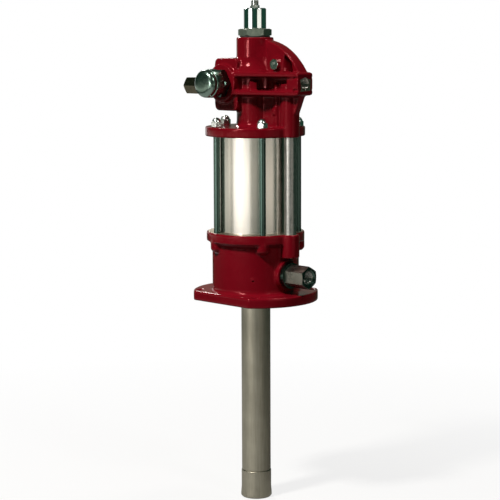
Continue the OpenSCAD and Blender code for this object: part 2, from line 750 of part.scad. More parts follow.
// Ported sleeve: five ring grooves outside, each with four drilled ports
module valve_sleeve() {
    color(brass) to_front(-valve_x, sleeve_half, valve_z) difference() {
        pipe(sleeve_r - seat_gap, spool_r, 2 * sleeve_half);
        for (i = [-2 : 2]) translate([0, 0, sleeve_half + i * 11]) {
            translate([0, 0, -2.5]) pipe(sleeve_r + 1, sleeve_r - 2, 5);
            for (a = [0, 90]) rotate([90, 0, a]) translate([0, 0, -sleeve_r])
                cylinder(r = 2, h = 2 * sleeve_r);
        }
    }
}

// Sliding spool with three lands
module valve_spool() {
    land = 12;
    waist = (spool_l - 3 * land) / 2;
    color(steel) to_back(-valve_x, spool_start, valve_z) {
        cylinder(r = spool_r - 3, h = spool_l);
        for (i = [0 : 2]) translate([0, 0, i * (land + waist)]) cylinder(r = spool_r - run_gap, h = land);
    }
}

module inlet_nipple() {
    color(zinc) to_left(-inlet_face, -inlet_y, inlet_z) difference() {
        union() {
            translate([0, 0, -inlet_spigot_l]) cylinder(r = inlet_spigot_r, h = inlet_spigot_l + 1);
            rotate([0, 0, 30]) turned_hex(inlet_base_af, inlet_base_t);
            cylinder(r = inlet_neck_r, h = inlet_coupling_x - inlet_face);
            cylinder(r = inlet_join_r - seat_gap, h = inlet_coupling_x - inlet_face + inlet_join);
        }
        translate([0, 0, -inlet_spigot_l - 1])
            cylinder(d = inlet_bore_d - 4, h = inlet_coupling_x - inlet_face + inlet_join + 20);
    }
}

module inlet_coupling() {
    color(zinc) to_left(-inlet_coupling_x, -inlet_y, inlet_z) difference() {
        rotate([0, 0, 30]) turned_hex(inlet_af, inlet_l);
        translate([0, 0, -1]) cylinder(r = inlet_join_r, h = inlet_l);
        translate([0, 0, inlet_join]) cylinder(d = inlet_bore_d, h = inlet_l);
        translate([0, 0, inlet_l - 1.2]) cylinder(d1 = inlet_bore_d, d2 = inlet_bore_d + 2.6, h = 1.4);
    }
}

module neck_gasket() {
    color(black) translate([0, 0, neck_top])
        pipe(neck_plug_af / 2 + 1, neck_bore_r + seat_gap, neck_gasket_t);
}

module neck_plug() {
    color(zinc) translate([0, 0, plug_z]) difference() {
        union() {
            translate([0, 0, -neck_gasket_t - plug_spigot_l])
                cylinder(r = neck_bore_r - seat_gap, h = neck_gasket_t + plug_spigot_l + 1);
            rotate([0, 0, -15]) turned_hex(neck_plug_af, neck_plug_h);
        }
        translate([0, 0, -neck_gasket_t - plug_spigot_l - 1])
            cylinder(r = cap_cavity_r, h = neck_plug_h + plug_spigot_l + neck_gasket_t + 2);
        translate([0, 0, neck_plug_h - cap_spigot_l])
            cylinder(r = cap_spigot_r + seat_gap, h = cap_spigot_l + 1);
    }
}

module rod_cap() {
    r = rod_cap_d / 2;
    color(chrome) translate([0, 0, cap_z]) difference() {
        union() {
            translate([0, 0, -cap_spigot_l]) cylinder(r = cap_spigot_r, h = cap_spigot_l + 1);
            rotate_extrude() polygon([[0, 0], [r - 0.6, 0], [r, 0.6], [r, rod_cap_h - 1.2],
                [r - 1.6, rod_cap_h], [0, rod_cap_h]]);
        }
        translate([0, 0, -cap_spigot_l - 1])
            cylinder(r = cap_cavity_r, h = cap_cavity_top - cap_z + cap_spigot_l + 1);
        translate([0, 0, stud_low - cap_z]) cylinder(r = 4 + seat_gap, h = rod_cap_h);
    }
}

module cap_lock_nut() {
    color(zinc) translate([0, 0, lock_z]) difference() {
        turned_hex(lock_af, lock_h);
        translate([0, 0, -1]) cylinder(r = 4 + seat_gap, h = lock_h + 2);
    }
}

module cap_stud() {
    color(steel) difference() {
        union() {
            translate([0, 0, stud_low]) cylinder(r = 4, h = stud_top - stud_low - 1);
            translate([0, 0, lock_z + lock_h]) cylinder(d = stud_d, h = stud_h);
        }
        translate([-stud_d, -slot_w / 2, stud_top - 5]) cube([2 * stud_d, slot_w, 6]);
    }
}

// Socket-head screw through the front wall and the lever, tapped into the back wall
module pivot_screw() {
    face = lever_house_t / 2 + screw_boss_t;
    back = lever_house_t / 2 + screw_back_t - 3;
    color(zinc) to_front(pivot_x, -face, pivot_z) difference() {
        union() {
            cylinder(d = pivot_head_d, h = 6);
            translate([0, 0, -face - back]) cylinder(d = pivot_d, h = face + back + 1);
        }
        translate([0, 0, 2.6]) hex_bar(6.4, 5);
    }
}

// Bell crank: a fork round the trip rod and an arm down into the pilot spool
module trip_lever() {
    fork_half = 7;
    fork_x = collar_r + 3;
    arm_tip = 2;
    arm_root = 4.5;
    color(steel) translate([pivot_x, 0, pivot_z]) rotate([0, -swing, 0]) difference() {
        union() {
            upright(lever_t) {
                circle(hub_r);
                polygon([[0, 5], [fork_x - lever_arm, 3], [fork_x - lever_arm, -3], [0, -5]]);
                polygon([[-arm_tip, -lever_drop], [arm_tip, -lever_drop], [arm_root, 0], [-arm_root, 0]]);
                translate([0, -lever_drop]) circle(prong_r);
            }
            upright(2 * fork_half) {
                translate([-lever_arm, -2]) square([fork_x + 2, 4]);
                translate([-lever_arm, 0]) circle(prong_r);
            }
        }
        translate([-lever_arm - 5, -trip_r - 0.4, -6]) cube([trip_r + 7, 2 * trip_r + 0.8, 12]);
        to_front(0, lever_t, 0) cylinder(r = pivot_d / 2 + run_gap, h = 2 * lever_t);
    }
}

// Long rod through the neck, with two collars that hold the lever's fork
module trip_rod() {
    low = trip_nut_top - trip_nut_h;
    color(steel) {
        translate([0, 0, low]) cylinder(r = trip_r, h = trip_top - low);
        for (z = [collar_low_z, trip_low_z + prong_r + fork_gap])
            translate([0, 0, z]) cylinder(r = collar_r, h = collar_t);
    }
}

module trip_nut() {
    color(steel) translate([0, 0, trip_nut_top - trip_nut_h])
        pipe(trip_nut_r, trip_r + run_gap, trip_nut_h);
}

module pilot_spool() {
    notch = prong_r + fork_gap;
    color(steel) to_x(pivot_x + pilot_shift - pilot_l / 2, 0, valve_z) difference() {
        cylinder(r = pilot_r - run_gap, h = pilot_l);
        translate([-pilot_r - 1, -pilot_r, pilot_l / 2 - notch])
            cube([pilot_r + 1 + notch, 2 * pilot_r, 2 * notch]);
    }
}

// Disc piston: a hub and a rim with a seal groove, joined by a thinner web
module air_piston() {
    r = cyl_bore / 2 - 0.5;
    top = piston_t;
    web = piston_web_drop;
    hub = piston_nut_af / 2 + 5;
    rim = r - piston_rim_t;
    low = (piston_t - piston_seal_h) / 2;
    high = (piston_t + piston_seal_h) / 2;
    floor_r = r - piston_groove_d;
    color(steel) translate([0, 0, piston_z]) rotate_extrude() polygon([
        [rod_neck_r + seat_gap, 0], [hub, 0], [hub + web / 2, web], [rim - web / 2, web], [rim, 0],
        [r - 1, 0], [r, 1], [r, low], [floor_r, low], [floor_r, high], [r, high], [r, top - 1],
        [r - 1, top], [rim, top], [rim - web / 2, top - web], [hub + web / 2, top - web],
        [hub, top], [rod_neck_r + seat_gap, top]
    ]);
}

module piston_seal() {
    color(black) translate([0, 0, piston_z + (piston_t - piston_seal_h) / 2])
        pipe(cyl_bore / 2 - run_gap, cyl_bore / 2 - 0.5 - piston_groove_d + seat_gap, piston_seal_h);
}

module piston_nut() {
    color(zinc) translate([0, 0, piston_top]) difference() {
        hex_bar(piston_nut_af, rod_thread_h + nut_lip);
        translate([0, 0, -1]) cylinder(r = rod_neck_r + seat_gap, h = rod_thread_h + 1);
        cylinder(r = trip_r + 0.6, h = rod_thread_h + nut_lip + 1);
    }
}

// Hollow above for the trip rod, solid below where it enters the oil
module piston_rod() {
    color(chrome) difference() {
        union() {
            translate([0, 0, rod_low]) cylinder(r = rod_r, h = piston_z - rod_low);
            translate([0, 0, piston_z - 1]) cylinder(r = rod_neck_r, h = rod_top - piston_z + 1);
        }
        translate([0, 0, trip_bore_z]) cylinder(r = trip_bore_r, h = rod_top - trip_bore_z + 1);
        translate([0, 0, rod_low - 1]) cylinder(r = conn_rod_d / 2 + seat_gap, h = rod_joint + 1);
    }
}

module connecting_rod() {
    low = plunger_top - plunger_thread_h;
    color(steel) translate([0, 0, low]) cylinder(d = conn_rod_d, h = rod_low + rod_joint - low);
}

// Pump piston: skirt with the seal groove, ball chamber, side ports and threaded top
module pump_piston() {
    color(steel) difference() {
        union() {
            translate([0, 0, plunger_z]) cylinder(r = plunger_r, h = plunger_skirt_h);
            translate([0, 0, plunger_z]) cylinder(r = plunger_cage_r, h = plunger_top - plunger_z);
        }
        translate([0, 0, plunger_z - 1]) cylinder(r = plunger_seat_r, h = plunger_seat_h + 2);
        translate([0, 0, plunger_seat_z])
            cylinder(r = plunger_chamber_r, h = plunger_chamber_top - plunger_seat_z);
        for (a = [0, 90]) rotate([0, 0, a]) to_x(-plunger_r, 0, plunger_chamber_top - plunger_port_r - 1)
            cylinder(r = plunger_port_r, h = 2 * plunger_r);
        translate([0, 0, plunger_top - plunger_thread_h])
            cylinder(r = conn_rod_d / 2 + seat_gap, h = plunger_thread_h + 1);
        translate([0, 0, plunger_seal_z]) pipe(plunger_r + 1, plunger_r - plunger_seal_t, plunger_seal_h);
    }
}

module pump_piston_seal() {
    color(black) translate([0, 0, plunger_seal_z])
        pipe(tube_bore / 2 - run_gap, plunger_r - plunger_seal_t + seat_gap, plunger_seal_h);
}

module pump_piston_ball() {
    color(chrome) translate([0, 0, plunger_ball_z]) sphere(d = plunger_ball_d);
}

base_casting();
outlet_adapter();
outlet_seal();
rod_packing();
packing_gland();
rod_bush();
rod_air_seal();
pump_tube();
foot_valve_body();
foot_stop_pin();
foot_ball();
air_cylinder();
cylinder_gaskets();
tie_rods();
tie_rod_nuts();
transfer_tube();
transfer_seals();
head_casting();
valve_end_cap();
valve_rear_plug();
valve_cap_washers();
valve_sleeve();
valve_spool();
inlet_nipple();
inlet_coupling();
neck_plug();
neck_gasket();
rod_cap();
cap_lock_nut();
cap_stud();
pivot_screw();
trip_lever();
trip_rod();
trip_nut();
pilot_spool();
air_piston();
piston_seal();
piston_nut();
piston_rod();
connecting_rod();
pump_piston();
pump_piston_seal();
pump_piston_ball();
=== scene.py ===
# Drum oil pump: the looks of each piece, from the foot valve up to the slotted stud.
# Metres, in the same frame as the construction: origin at the centre of the mounting
# flange's underside, +Z up, +X towards the oil outlet.
import json
import math

import bmesh
import bpy
from mathutils import Matrix, Vector


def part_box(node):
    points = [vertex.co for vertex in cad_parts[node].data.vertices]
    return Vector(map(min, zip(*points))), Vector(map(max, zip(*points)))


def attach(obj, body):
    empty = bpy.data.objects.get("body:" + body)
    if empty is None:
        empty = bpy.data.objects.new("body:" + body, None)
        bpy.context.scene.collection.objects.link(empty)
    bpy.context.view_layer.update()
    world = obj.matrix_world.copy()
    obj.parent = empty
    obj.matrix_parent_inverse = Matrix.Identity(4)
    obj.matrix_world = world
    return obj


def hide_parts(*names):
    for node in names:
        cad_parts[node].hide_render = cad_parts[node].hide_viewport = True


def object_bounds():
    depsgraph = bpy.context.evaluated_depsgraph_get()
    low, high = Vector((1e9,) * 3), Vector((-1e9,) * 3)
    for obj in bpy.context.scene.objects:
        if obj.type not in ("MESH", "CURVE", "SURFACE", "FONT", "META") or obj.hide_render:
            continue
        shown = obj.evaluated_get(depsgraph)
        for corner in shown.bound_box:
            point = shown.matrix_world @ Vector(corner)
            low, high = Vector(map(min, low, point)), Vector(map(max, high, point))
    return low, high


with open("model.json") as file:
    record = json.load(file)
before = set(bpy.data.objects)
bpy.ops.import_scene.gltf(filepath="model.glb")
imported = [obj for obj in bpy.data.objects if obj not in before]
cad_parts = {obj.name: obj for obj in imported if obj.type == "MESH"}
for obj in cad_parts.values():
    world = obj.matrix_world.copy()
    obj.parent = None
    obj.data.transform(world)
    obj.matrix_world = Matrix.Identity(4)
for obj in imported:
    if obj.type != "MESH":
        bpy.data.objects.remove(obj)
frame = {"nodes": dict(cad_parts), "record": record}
cad_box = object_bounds()
scene = bpy.context.scene
scene.view_settings.view_transform = "Standard"

# Studio: the pump stands on its foot valve on a round sheet of white paper. Four small high
# lamps light it from the front left, the front right and behind, and flat boxes that only
# gloss sees draw the bright bands on its metal. The room that it mirrors is dark and green.
MM = 0.001
CAMERA_SIDE = math.radians(-45)
CAMERA_DROP = math.radians(7.63)
CAMERA_DISTANCE = 2.386
CAMERA_TARGET = Vector((-5.8, -5.8, 71.3)) * MM
CAMERA_ROLL = math.radians(-0.22)
FLOOR_Z = cad_box[0][2] - 0.2 * MM
FLOOR_RADIUS = 1.5
LAMP_DISTANCE = 2.2
CYLINDER_LEVEL = -0.015  # where a box has to stand to be mirrored by the cylinder
HEAD_LEVEL = 0.40  # and by the head and the caps


def add_node(tree, kind, inputs=None, **settings):
    """Adds one node to a tree. An input given as a socket is linked, and any other is set."""
    new = tree.nodes.new(kind)
    for key, value in settings.items():
        setattr(new, key, value)
    for key, value in (inputs or {}).items():
        if isinstance(value, bpy.types.NodeSocket):
            tree.links.new(value, new.inputs[key])
        else:
            new.inputs[key].default_value = value
    return new


def around(angle, distance, height):
    """The point at that angle from +X, distance from the pump's centre line, and height."""
    return Vector((math.cos(angle) * distance, math.sin(angle) * distance, height))


def look_from(obj, place, target, roll=0.0):
    aim = (Vector(target) - Vector(place)).to_track_quat("-Z", "Y").to_matrix().to_4x4()
    obj.matrix_world = Matrix.Translation(place) @ aim @ Matrix.Rotation(roll, 4, "Z")


camera_data = bpy.data.cameras.new("camera")
camera_data.sensor_width = 36
camera_data.lens = 118.8
camera = bpy.data.objects.new("camera", camera_data)
scene.collection.objects.link(camera)
camera_place = CAMERA_TARGET + CAMERA_DISTANCE * around(
    CAMERA_SIDE, math.cos(CAMERA_DROP), math.sin(CAMERA_DROP))
look_from(camera, camera_place, CAMERA_TARGET, CAMERA_ROLL)
scene.camera = camera


def soft_box(name, angle, distance, height, width, tall, radiance, colour, only_gloss=True):
    """A flat lamp that faces the pump's centre line. Radiance 1 shows as white in a mirror. The
    boxes only give the bright bands on metal and gloss, and the high lamps light the surfaces."""
    lamp = bpy.data.lights.new(name, "AREA")
    lamp.shape = "RECTANGLE"
    lamp.size = width
    lamp.size_y = tall
    lamp.color = colour
    lamp.energy = radiance * math.pi * width * tall
    obj = bpy.data.objects.new(name, lamp)
    scene.collection.objects.link(obj)
    look_from(obj, around(angle, distance, height), (0, 0, height))
    obj.visible_camera = False
    obj.visible_diffuse = not only_gloss
    return obj


def high_lamp(name, angle, rise, width, radiance):
    """A small soft box up above the pump, aimed at the middle of its motor."""
    middle = Vector((0, 0, 0.18))
    obj = soft_box(name, angle, 1.0, 0.0, width, width, radiance, (1.0, 0.97, 0.93),
                   only_gloss=False)
    place = middle + LAMP_DISTANCE * around(angle, math.cos(rise), math.sin(rise))
    look_from(obj, place, middle)
    return obj


# Each box: name, degrees round from the camera, distance, height, width, tall, radiance, colour.
for box_name, degrees, *box_values in (
        ("key_box", -42, 2.0, CYLINDER_LEVEL, 1.95, 0.25, 1.9, (1.0, 0.98, 0.96)),
        ("key_veil", -39, 2.02, CYLINDER_LEVEL, 4.2, 0.25, 0.85, (1.0, 0.93, 0.84)),
        ("side_veil", -108, 2.0, CYLINDER_LEVEL, 2.3, 0.27, 0.95, (1.0, 0.95, 0.87)),
        ("key_high_box", -50, 2.0, HEAD_LEVEL, 1.5, 0.12, 1.3, (1.0, 1.0, 1.0)),
        ("key_core", -46, 1.95, 0.385, 0.34, 0.15, 40.0, (1.0, 0.97, 0.94)),
        ("fill_box", 39, 2.0, CYLINDER_LEVEL, 1.15, 0.25, 1.15, (1.0, 0.90, 0.82)),
        ("fill_high_box", 45.5, 2.0, HEAD_LEVEL, 1.6, 0.12, 1.1, (1.0, 0.96, 0.90)),
        ("back_box", -154, 2.0, 0.60, 0.5, 1.2, 1.0, (1.0, 1.0, 1.0))):
    soft_box(box_name, CAMERA_SIDE + math.radians(degrees), *box_values)
# Each lamp: name, degrees round from the camera, degrees up, width, radiance.
for lamp_name, degrees, rise, width, radiance in (
        ("key_lamp", -48, 48, 0.30, 185.0),
        ("fill_lamp", 38, 36, 0.26, 31.0),
        ("rear_lamp", 120, 68, 0.40, 18.0),
        ("far_lamp", -165, 32, 0.34, 50.0)):
    high_lamp(lamp_name, CAMERA_SIDE + math.radians(degrees), math.radians(rise), width, radiance)

world = bpy.data.worlds.new("studio_room")
scene.world = world
world.use_nodes = True
room = world.node_tree
rays = add_node(room, "ShaderNodeLightPath")
direction = add_node(room, "ShaderNodeTexCoord")
backdrop_side = add_node(room, "ShaderNodeVectorMath", {
    0: direction.outputs["Generated"], 1: -around(CAMERA_SIDE, 1.0, 0.0)}, operation="DOT_PRODUCT")
backdrop_seen = add_node(room, "ShaderNodeMapRange", {
    "Value": backdrop_side.outputs["Value"], "From Min": 0.93, "From Max": 0.97})
mirror_room = add_node(room, "ShaderNodeMix", {
    0: backdrop_seen.outputs["Result"], 6: (0.012, 0.048, 0.032, 1), 7: (0.15, 0.18, 0.15, 1)},
    data_type="RGBA")
glossy_room = add_node(room, "ShaderNodeMix", {
    0: rays.outputs["Is Glossy Ray"], 6: (0.02, 0.02, 0.02, 1), 7: mirror_room.outputs[2]},
    data_type="RGBA")
seen_directly = add_node(room, "ShaderNodeMath", {
    0: rays.outputs["Is Camera Ray"], 1: rays.outputs["Is Transmission Ray"]}, operation="MAXIMUM")
room_colour = add_node(room, "ShaderNodeMix", {
    0: seen_directly.outputs[0], 6: glossy_room.outputs[2], 7: (1, 1, 1, 1)}, data_type="RGBA")
room.links.new(room_colour.outputs[2], room.nodes["Background"].inputs["Color"])


def link_mesh(name, bm):
    """Turns a bmesh into a linked object, with its normals pointing outwards."""
    bmesh.ops.recalc_face_normals(bm, faces=bm.faces[:])
    mesh = bpy.data.meshes.new(name)
    bm.to_mesh(mesh)
    bm.free()
    obj = bpy.data.objects.new(name, mesh)
    scene.collection.objects.link(obj)
    return obj


bm = bmesh.new()
bmesh.ops.create_circle(bm, cap_ends=True, segments=96, radius=FLOOR_RADIUS)
bmesh.ops.translate(bm, verts=bm.verts[:], vec=(0, 0, FLOOR_Z))
floor = link_mesh("paper_floor", bm)
floor_paper = bpy.data.materials.new("white_paper")
floor_paper.use_nodes = True
paper = floor_paper.node_tree
paper.nodes.remove(paper.nodes["Principled BSDF"])
paper_place = add_node(paper, "ShaderNodeTexCoord")
paper_far = add_node(paper, "ShaderNodeVectorMath", {
    0: paper_place.outputs["Object"]}, operation="LENGTH")
paper_edge = add_node(paper, "ShaderNodeMapRange", {
    "Value": paper_far.outputs["Value"],
    "From Min": 0.35, "From Max": 1.1, "To Min": 0.78, "To Max": 1.0})
# In mirrors the paper glows, brightly on the side of the key lamps and faintly elsewhere: painted
# light for the metal to mirror as a painted reflection.
paper_side = add_node(paper, "ShaderNodeVectorMath", {
    0: paper_place.outputs["Object"], 1: around(CAMERA_SIDE - math.radians(60), 1.0, 0.0)},
    operation="DOT_PRODUCT")
paper_in_gloss = add_node(paper, "ShaderNodeMapRange", {
    "Value": paper_side.outputs["Value"],
    "From Min": -0.15, "From Max": 0.15, "To Min": 0.04, "To Max": 0.5})
paper_rays = add_node(paper, "ShaderNodeLightPath")
paper_seen = add_node(paper, "ShaderNodeMath", {
    0: paper_rays.outputs["Is Camera Ray"], 1: paper_rays.outputs["Is Transmission Ray"]},
    operation="MAXIMUM")
paper_seen_glow = add_node(paper, "ShaderNodeMath", {
    0: paper_edge.outputs[0], 1: paper_seen.outputs[0]}, operation="MULTIPLY")
paper_gloss_glow = add_node(paper, "ShaderNodeMath", {
    0: paper_in_gloss.outputs[0], 1: paper_rays.outputs["Is Glossy Ray"]}, operation="MULTIPLY")
paper_glow = add_node(paper, "ShaderNodeMath", {
    0: paper_seen_glow.outputs[0], 1: paper_gloss_glow.outputs[0]}, operation="MAXIMUM")
paper_tone = add_node(paper, "ShaderNodeMix", {
    0: paper_seen.outputs[0], 6: (0.22, 0.22, 0.21, 1), 7: (0.80, 0.80, 0.79, 1)}, data_type="RGBA")
paper_lit = add_node(paper, "ShaderNodeBsdfDiffuse", {"Color": paper_tone.outputs[2]})
paper_white = add_node(paper, "ShaderNodeEmission", {"Color": (1, 1, 1, 1), "Strength": 1.0})
paper_mix = add_node(paper, "ShaderNodeMixShader", {
    0: paper_glow.outputs[0], 1: paper_lit.outputs[0], 2: paper_white.outputs[0]})
paper.links.new(paper_mix.outputs[0], paper.nodes["Material Output"].inputs["Surface"])
floor.data.materials.append(floor_paper)


# Foot valve and pump tube: plain drawn steel pipe with an oily, olive-brown skin, and a
# turned steel body of the foot valve screwed into its lower end.
def metal(name, tint, other_tint, roughness, rough_spread=0.03, grain=(1, 1, 1),
          grain_scale=200.0, grain_depth=0.0, ringed=False, blotch_scale=25.0):
    """A bare or plated metal. Its grain is stretched by the three factors of grain, or runs in
    rings about the pump's centre line, and broad blotches mix its two tints."""
    mat = bpy.data.materials.new(name)
    mat.use_nodes = True
    tree = mat.node_tree
    shader = tree.nodes["Principled BSDF"]
    shader.inputs["Metallic"].default_value = 1.0
    place = add_node(tree, "ShaderNodeTexCoord").outputs["Object"]
    grained = place
    if ringed:
        parts = add_node(tree, "ShaderNodeSeparateXYZ", {0: place})
        flat = add_node(tree, "ShaderNodeCombineXYZ", {
            "X": parts.outputs["X"], "Y": parts.outputs["Y"]})
        radius = add_node(tree, "ShaderNodeVectorMath", {0: flat.outputs[0]}, operation="LENGTH")
        grained = add_node(tree, "ShaderNodeCombineXYZ", {
            "X": radius.outputs["Value"], "Z": parts.outputs["Z"]}).outputs[0]
    stretched = add_node(tree, "ShaderNodeMapping", {"Vector": grained, "Scale": grain}).outputs[0]
    lines = add_node(tree, "ShaderNodeTexNoise", {
        "Vector": stretched, "Scale": grain_scale, "Detail": 3.0, "Roughness": 0.6}).outputs["Fac"]
    blotches = add_node(tree, "ShaderNodeTexNoise", {
        "Vector": place, "Scale": blotch_scale, "Detail": 4.0, "Roughness": 0.55}).outputs["Fac"]
    blend = add_node(tree, "ShaderNodeMath", {0: lines, 1: blotches}, operation="ADD").outputs[0]
    tone = add_node(tree, "ShaderNodeMapRange", {
        "Value": blend, "From Min": 0.7, "From Max": 1.3}).outputs[0]
    colour = add_node(tree, "ShaderNodeMix", {
        0: tone, 6: (*tint, 1), 7: (*other_tint, 1)}, data_type="RGBA").outputs[2]
    tree.links.new(colour, shader.inputs["Base Color"])
    rough = add_node(tree, "ShaderNodeMapRange", {
        "Value": blend, "From Min": 0.7, "From Max": 1.3,
        "To Min": roughness - rough_spread, "To Max": roughness + rough_spread}).outputs[0]
    tree.links.new(rough, shader.inputs["Roughness"])
    if grain_depth:
        bump = add_node(tree, "ShaderNodeBump", {
            "Height": lines, "Distance": grain_depth, "Strength": 1.0})
        tree.links.new(bump.outputs[0], shader.inputs["Normal"])
    return mat


def applied(obj):
    """Replaces an object's mesh by its evaluated one, and clears its modifiers."""
    deps = bpy.context.evaluated_depsgraph_get()
    done = bpy.data.meshes.new_from_object(obj.evaluated_get(deps))
    obj.modifiers.clear()
    old = obj.data
    obj.data = done
    bpy.data.meshes.remove(old)
    return obj


def ease_edges(obj, edge, steps=2, angle=28):
    """Breaks every sharp edge of a turned or milled piece by a small round."""
    bm = bmesh.new()
    bm.from_mesh(obj.data)
    bmesh.ops.remove_doubles(bm, verts=bm.verts[:], dist=0.002 * MM)
    bmesh.ops.dissolve_limit(
        bm, angle_limit=math.radians(0.4), verts=bm.verts[:], edges=bm.edges[:])
    bm.to_mesh(obj.data)
    bm.free()
    obj.data.shade_smooth()
    bevel = obj.modifiers.new("broken_edges", "BEVEL")
    bevel.width = edge
    bevel.segments = steps
    bevel.limit_method = "ANGLE"
    bevel.angle_limit = math.radians(angle)
    normals = obj.modifiers.new("flat_faces", "WEIGHTED_NORMAL")
    normals.keep_sharp = True
    return applied(obj)


body_of_node = {}
for body, nodes in frame["record"]["behaviour"]["bodies"].items():
    for node in nodes:
        body_of_node[node] = body


def stands_for(obj, node, mat):
    """Gives a finished piece its material and body in the place of the CAD node, and hides that
    node.
    """
    if mat:
        obj.data.materials.clear()
        obj.data.materials.append(mat)
    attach(obj, body_of_node.get(node, "pump"))
    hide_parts(node)
    return obj


def machined(name, node, edge, mat):
    """A copy of a CAD node with its edges broken."""
    mesh = frame["nodes"][node].data.copy()
    mesh.name = name
    obj = bpy.data.objects.new(name, mesh)
    scene.collection.objects.link(obj)
    return stands_for(ease_edges(obj, edge), node, mat)


def show_node(node, mat):
    """Gives a CAD node's own mesh its material."""
    mesh = frame["nodes"][node].data
    mesh.materials.clear()
    mesh.materials.append(mat)


pipe_steel = metal("oily_pipe_steel", (0.30, 0.28, 0.22), (0.42, 0.39, 0.31), 0.42, 0.05,
                   grain=(1, 1, 0.05), grain_scale=420.0, grain_depth=0.00003)
machined("drawn_pump_tube", "pump_tube", 0.6 * MM, pipe_steel)
machined("turned_foot_valve", "foot_valve_body", 0.5 * MM, pipe_steel)


# Base casting: grey iron with a mounting flange, a round body over the oil chamber and a
# clamp flange for the tie rods. It is dipped in thick crimson enamel, and the face that the
# air cylinder stands on is machined bare.
def enamel(name, deep, light):
    """Thick gloss paint over the slightly rough skin of a sand casting, between two tones."""
    mat = bpy.data.materials.new(name)
    mat.use_nodes = True
    tree = mat.node_tree
    shader = tree.nodes["Principled BSDF"]
    shader.inputs["Specular IOR Level"].default_value = 0.25
    shader.inputs["Specular Tint"].default_value = (1.0, 0.27, 0.28, 1)
    place = add_node(tree, "ShaderNodeTexCoord").outputs["Object"]
    broad = add_node(tree, "ShaderNodeTexNoise", {
        "Vector": place, "Scale": 22.0, "Detail": 4.0, "Roughness": 0.6}).outputs["Fac"]
    skin = add_node(tree, "ShaderNodeTexNoise", {
        "Vector": place, "Scale": 240.0, "Detail": 3.0, "Roughness": 0.55}).outputs["Fac"]
    tone = add_node(tree, "ShaderNodeMapRange", {
        "Value": broad, "From Min": 0.3, "From Max": 0.7}).outputs[0]
    colour = add_node(tree, "ShaderNodeMix", {
        0: tone, 6: (*deep, 1), 7: (*light, 1)}, data_type="RGBA").outputs[2]
    tree.links.new(colour, shader.inputs["Base Color"])
    rough = add_node(tree, "ShaderNodeMapRange", {
        "Value": skin, "From Min": 0.3, "From Max": 0.7, "To Min": 0.11, "To Max": 0.19}).outputs[0]
    tree.links.new(rough, shader.inputs["Roughness"])
    bump = add_node(tree, "ShaderNodeBump", {"Height": skin, "Distance": 0.00012, "Strength": 0.6})
    tree.links.new(bump.outputs[0], shader.inputs["Normal"])
    return mat


# The base's copy of the enamel is about a fifth lighter than the head's: painted light for the
# brighter light on the base, over one and the same paint.
crimson = enamel("crimson_enamel", (0.180, 0.0026, 0.0085), (0.212, 0.0036, 0.0110))
bare_iron = metal("machined_iron", (0.42, 0.36, 0.28), (0.54, 0.47, 0.38), 0.38, 0.04,
                  ringed=True, grain_scale=1500.0, grain_depth=0.00001)


def bore_tool(bm, centre, axis, radius, low, high, core=0.0, segments=64):
    """Adds a closed cylinder to bm, or a ring about a core, from low to high along an axis
    through centre."""
    turn = Vector(axis).to_track_quat("Z", "Y").to_matrix().to_4x4()
    move = Matrix.Translation(centre) @ turn
    if core:
        profile = [(core, low), (radius, low), (radius, high), (core, high)]
        rings = []
        for r, h in profile:
            rings.append([bm.verts.new(move @ around(math.tau * i / segments, r, h))
                          for i in range(segments)])
        for k, ring in enumerate(rings):
            other = rings[(k + 1) % 4]
            for i in range(segments):
                j = (i + 1) % segments
                bm.faces.new((ring[i], ring[j], other[j], other[i]))
        return
    made = bmesh.ops.create_cone(bm, cap_ends=True, segments=segments, radius1=radius,
                                 radius2=radius, depth=high - low)
    move = move @ Matrix.Translation((0, 0, (low + high) / 2))
    bmesh.ops.transform(bm, matrix=move, verts=made["verts"])


def prism(bm, outline, low, high, turn=Matrix()):
    """Adds a closed prism to bm: an outline in X and Y, from low to high, then turned."""
    rims = []
    for height in (low, high):
        rims.append([bm.verts.new(turn @ Vector((x, y, height))) for x, y in outline])
    bm.faces.new(rims[0][::-1])
    bm.faces.new(rims[1])
    for i in range(len(outline)):
        j = (i + 1) % len(outline)
        bm.faces.new((rims[0][i], rims[0][j], rims[1][j], rims[1][i]))


def cast_skin(name, node, fillings, voxel, smoothing, keep, hollows=()):
    """A copy of a casting with the mouths of its bores filled, hollows of the mould taken out,
    and every edge and corner rounded as the sand mould leaves it."""
    bm = bmesh.new()
    bm.from_mesh(frame["nodes"][node].data)
    bmesh.ops.remove_doubles(bm, verts=bm.verts[:], dist=0.001 * MM)
    for filling in fillings:
        bore_tool(bm, *filling)
    bmesh.ops.recalc_face_normals(bm, faces=bm.faces[:])
    mesh = bpy.data.meshes.new(name)
    bm.to_mesh(mesh)
    bm.free()
    obj = bpy.data.objects.new(name, mesh)
    scene.collection.objects.link(obj)
    remesh = obj.modifiers.new("skin", "REMESH")
    remesh.mode = "VOXEL"
    remesh.voxel_size = voxel
    cutters = []
    for hollow in hollows:
        bm = bmesh.new()
        prism(bm, *hollow)
        cutters.append(link_mesh(name + "_hollow", bm))
        cut = obj.modifiers.new("hollow", "BOOLEAN")
        cut.operation = "DIFFERENCE"
        cut.solver = "MANIFOLD"
        cut.object = cutters[-1]
    smooth = obj.modifiers.new("mould_radii", "SMOOTH")
    smooth.factor = 0.5
    smooth.iterations = smoothing
    thin = obj.modifiers.new("fewer_faces", "DECIMATE")
    thin.ratio = keep
    applied(obj)
    for cutter in cutters:
        bpy.data.objects.remove(cutter)
    return obj


def machine_off(obj, tools):
    """Machines a casting: takes the tools, given as bore_tool's values, out of it one by one."""
    for tool in tools:
        bm = bmesh.new()
        bore_tool(bm, *tool)
        cutter = link_mesh(obj.name + "_tool", bm)
        cut = obj.modifiers.new("machining", "BOOLEAN")
        cut.operation = "DIFFERENCE"
        cut.solver = "MANIFOLD"
        cut.object = cutter
        applied(obj)
        bpy.data.objects.remove(cutter)
    obj.data.shade_smooth()
    obj.data.set_sharp_from_angle(angle=math.radians(38))
    return obj


